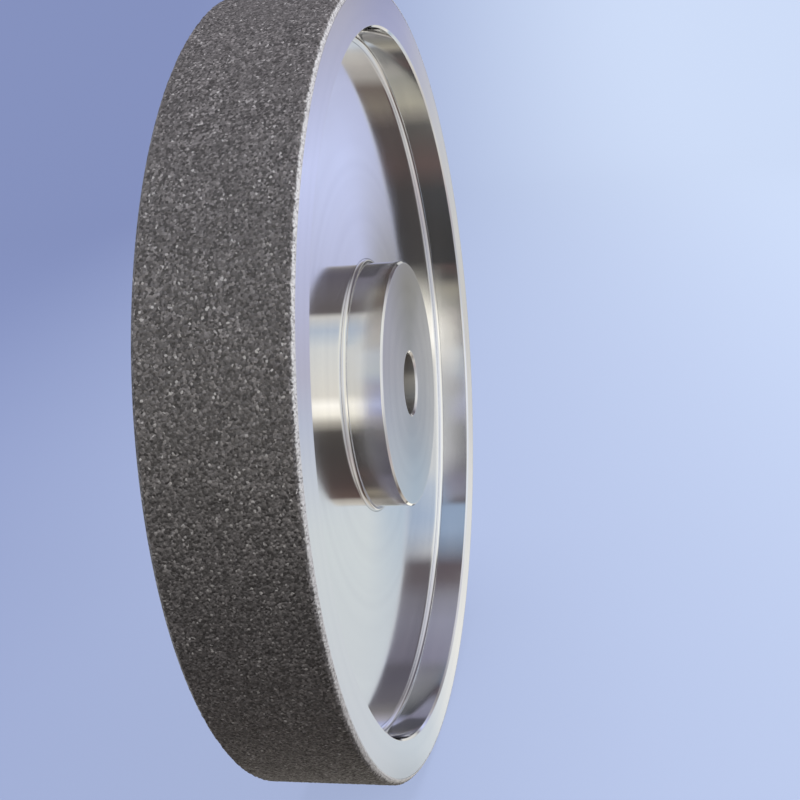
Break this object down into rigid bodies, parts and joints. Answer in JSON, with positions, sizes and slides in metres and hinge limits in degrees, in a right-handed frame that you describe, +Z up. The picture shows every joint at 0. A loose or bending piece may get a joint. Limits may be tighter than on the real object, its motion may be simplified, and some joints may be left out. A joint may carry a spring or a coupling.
{
  "type": "diamond grinding wheel",
  "caption": "Wide lapidary grinding wheel: turned aluminium hub, recessed web and rim, with a plated diamond grit tread and a plain arbor bore.",
  "frame": {"origin": "centre of the wheel: on the bore's axis, midway between the two rim faces", "axes": "Y is the axis that the wheel turns about, with the front face, the one that the picture shows, towards -Y; +Z is up and the wheel stands on its tread"},
  "size_m": [0.1998, 0.032, 0.1998],
  "materials": {
    "diamond_plating": "coarse diamond grit held in nickel plate: charcoal grey, dull, with fine sparkle",
    "rim_aluminium": "fine turned, near mirror",
    "web_aluminium": "near mirror with fine turning marks",
    "hub_aluminium": "fine turned, satin"
  },
  "bodies": {
    "root": {"diamond_band": "diamond_plating", "rim_ring": "rim_aluminium", "web_disc": "web_aluminium", "hub": "hub_aluminium"}
  },
  "joints": []
}
